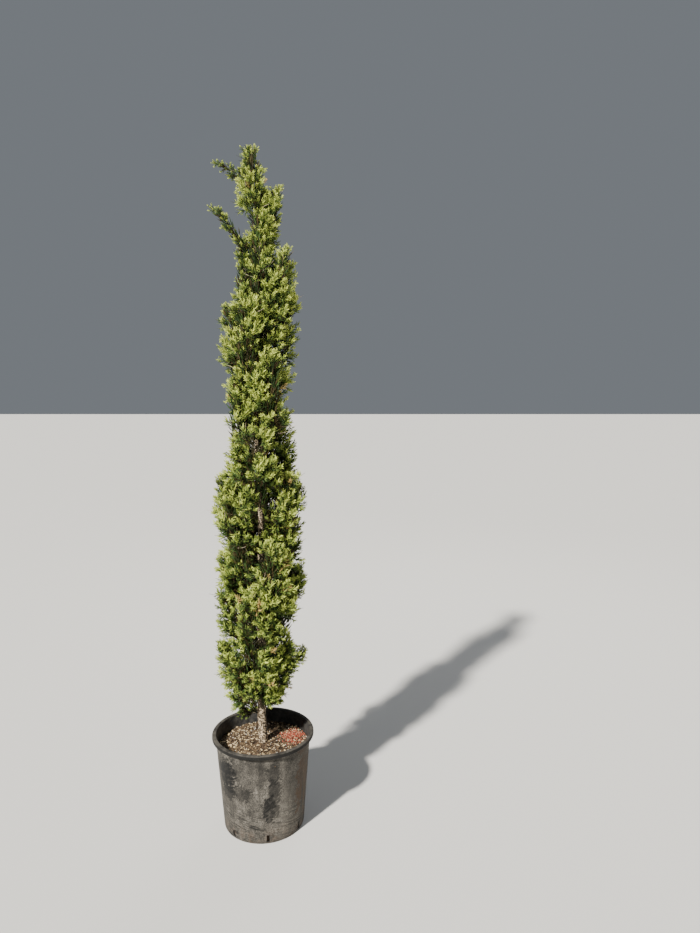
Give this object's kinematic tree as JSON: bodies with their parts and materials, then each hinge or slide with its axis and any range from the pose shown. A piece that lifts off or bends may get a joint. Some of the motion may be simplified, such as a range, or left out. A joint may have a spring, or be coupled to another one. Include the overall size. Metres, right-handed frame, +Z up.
{
  "type": "potted italian cypress tree",
  "caption": "Narrow upright evergreen tree with a straight trunk, steep boughs and dense plumes of foliage, growing in a round tapered nursery pot.",
  "frame": {"origin": "centre of the flat underside of the pot, on the ground it stands on", "axes": "+Z up along the trunk, -Y towards the side the picture shows, +X to the right in the picture"},
  "size_m": [0.39, 0.39, 2.524],
  "materials": {
    "pot_plastic": "dusty charcoal moulded plastic with scuffs",
    "soil": "coarse brown bark and peat growing mix",
    "bark": "thin grey-brown fibrous bark",
    "foliage": "matt scale foliage in fine cords, yellow-green where the sun reaches it"
  },
  "bodies": {
    "root": {"pot": "pot_plastic", "soil": "soil", "trunk": "bark", "bough_01": "bark", "bough_02": "bark", "bough_03": "bark", "bough_04": "bark", "bough_05": "bark", "bough_06": "bark", "bough_07": "bark", "bough_08": "bark", "bough_09": "bark", "bough_10": "bark", "bough_11": "bark", "bough_12": "bark", "bough_13": "bark", "bough_14": "bark", "bough_15": "bark", "bough_16": "bark", "bough_17": "bark", "bough_18": "bark", "bough_low_left": "bark", "bough_left_tuft": "bark", "bough_right_tuft": "bark", "bough_left_spur": "bark", "bough_right_spur": "bark", "foliage_01": "foliage", "foliage_02": "foliage", "foliage_03": "foliage", "foliage_04": "foliage", "foliage_05": "foliage", "foliage_06": "foliage", "foliage_07": "foliage", "foliage_08": "foliage", "foliage_09": "foliage", "foliage_10": "foliage", "foliage_11": "foliage", "foliage_12": "foliage", "foliage_13": "foliage", "foliage_14": "foliage", "foliage_15": "foliage", "foliage_16": "foliage", "foliage_17": "foliage", "foliage_18": "foliage", "foliage_low_back": "foliage", "foliage_low_front": "foliage", "foliage_low_mid": "foliage", "foliage_low_left": "foliage", "foliage_low_right": "foliage", "foliage_left_tuft": "foliage", "foliage_right_tuft": "foliage", "foliage_left_spur": "foliage", "foliage_right_spur": "foliage", "foliage_left_arm": "foliage", "foliage_right_arm": "foliage", "foliage_top_left": "foliage", "foliage_leader": "foliage", "foliage_low_rear": "foliage"}
  },
  "joints": []
}
